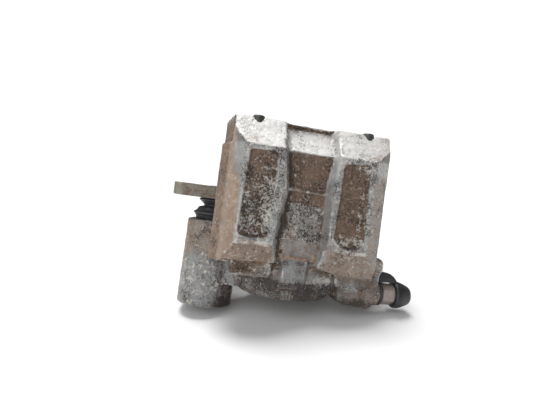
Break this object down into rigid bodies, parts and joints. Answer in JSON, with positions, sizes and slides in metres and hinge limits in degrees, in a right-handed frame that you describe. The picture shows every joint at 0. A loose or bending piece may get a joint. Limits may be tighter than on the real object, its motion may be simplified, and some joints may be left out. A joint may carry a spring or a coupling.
{
  "type": "brake caliper",
  "caption": "Floating disc brake caliper: ribbed aluminium body on slide pins in a steel bracket, with piston, pads and bleeder screw.",
  "frame": {"origin": "where the piston axis crosses the brake disc's middle plane", "axes": "+Z outboard along the piston axis, +Y towards the wheel's centre, +X tangential, towards the bleeder screw"},
  "size_m": [0.1174, 0.08, 0.0912],
  "materials": {
    "caliper_body": "weathered cast",
    "piston": "ground",
    "piston_seal": "moulded",
    "dust_seal": "moulded",
    "bracket_plate": "rusty stamped plate",
    "slide_pin_left": "turned",
    "slide_pin_right": "turned",
    "pin_boot_left": "moulded",
    "pin_boot_right": "moulded",
    "pin_bush": "moulded",
    "inner_pad_backing": "worn black paint",
    "inner_pad_lining": "sintered friction material",
    "inner_pad_shim": "rolled stainless",
    "outer_pad_backing": "worn black paint",
    "outer_pad_lining": "sintered friction material",
    "outer_pad_shim": "rolled stainless",
    "pad_pins": "rusty",
    "pad_spring": "rolled stainless",
    "pad_clip_left": "rolled stainless",
    "pad_clip_right": "rolled stainless",
    "bleeder_screw": "zinc plated, dull",
    "bleeder_cap": "moulded",
    "bleeder_strap": "moulded"
  },
  "bodies": {
    "bracket": {"bracket_plate": "bracket_plate", "slide_pin_left": "slide_pin_left", "slide_pin_right": "slide_pin_right", "pin_boot_left": "pin_boot_left", "pin_boot_right": "pin_boot_right", "pad_clip_left": "pad_clip_left", "pad_clip_right": "pad_clip_right"},
    "caliper": {"caliper_body": "caliper_body", "piston_seal": "piston_seal", "dust_seal": "dust_seal", "pin_bush": "pin_bush", "outer_pad_backing": "outer_pad_backing", "outer_pad_lining": "outer_pad_lining", "outer_pad_shim": "outer_pad_shim", "pad_pins": "pad_pins", "pad_spring": "pad_spring", "bleeder_strap": "bleeder_strap"},
    "piston": {"piston": "piston"},
    "inner_pad": {"inner_pad_backing": "inner_pad_backing", "inner_pad_lining": "inner_pad_lining", "inner_pad_shim": "inner_pad_shim"},
    "bleeder": {"bleeder_screw": "bleeder_screw"},
    "cap": {"bleeder_cap": "bleeder_cap"}
  },
  "joints": [
    {"name": "caliper_slide", "type": "slide", "parent": "bracket", "child": "caliper", "axis": [0, 0, 1], "range_m": [-0.004, 0], "deforming": ["pin_boot_left", "pin_boot_right"]},
    {"name": "piston_stroke", "type": "slide", "parent": "caliper", "child": "piston", "axis": [0, 0, 1], "range_m": [0, 0.008]},
    {"name": "inner_pad_slide", "type": "slide", "parent": "bracket", "child": "inner_pad", "axis": [0, 0, 1], "range_m": [0, 0.004]},
    {"name": "bleeder_turn", "type": "hinge", "parent": "caliper", "child": "bleeder", "pos_m": [0.045, -0.018, -0.047], "axis": [1, 0, 0], "range_deg": [0, 180]},
    {"name": "cap_pull", "type": "slide", "parent": "caliper", "child": "cap", "axis": [1, 0, 0], "range_m": [0, 0.012], "deforming": ["bleeder_strap"]}
  ],
  "couplings": [
    {"joint": "caliper_slide", "follows": "piston_stroke", "ratio": -0.5},
    {"joint": "inner_pad_slide", "follows": "piston_stroke", "ratio": 0.5}
  ]
}
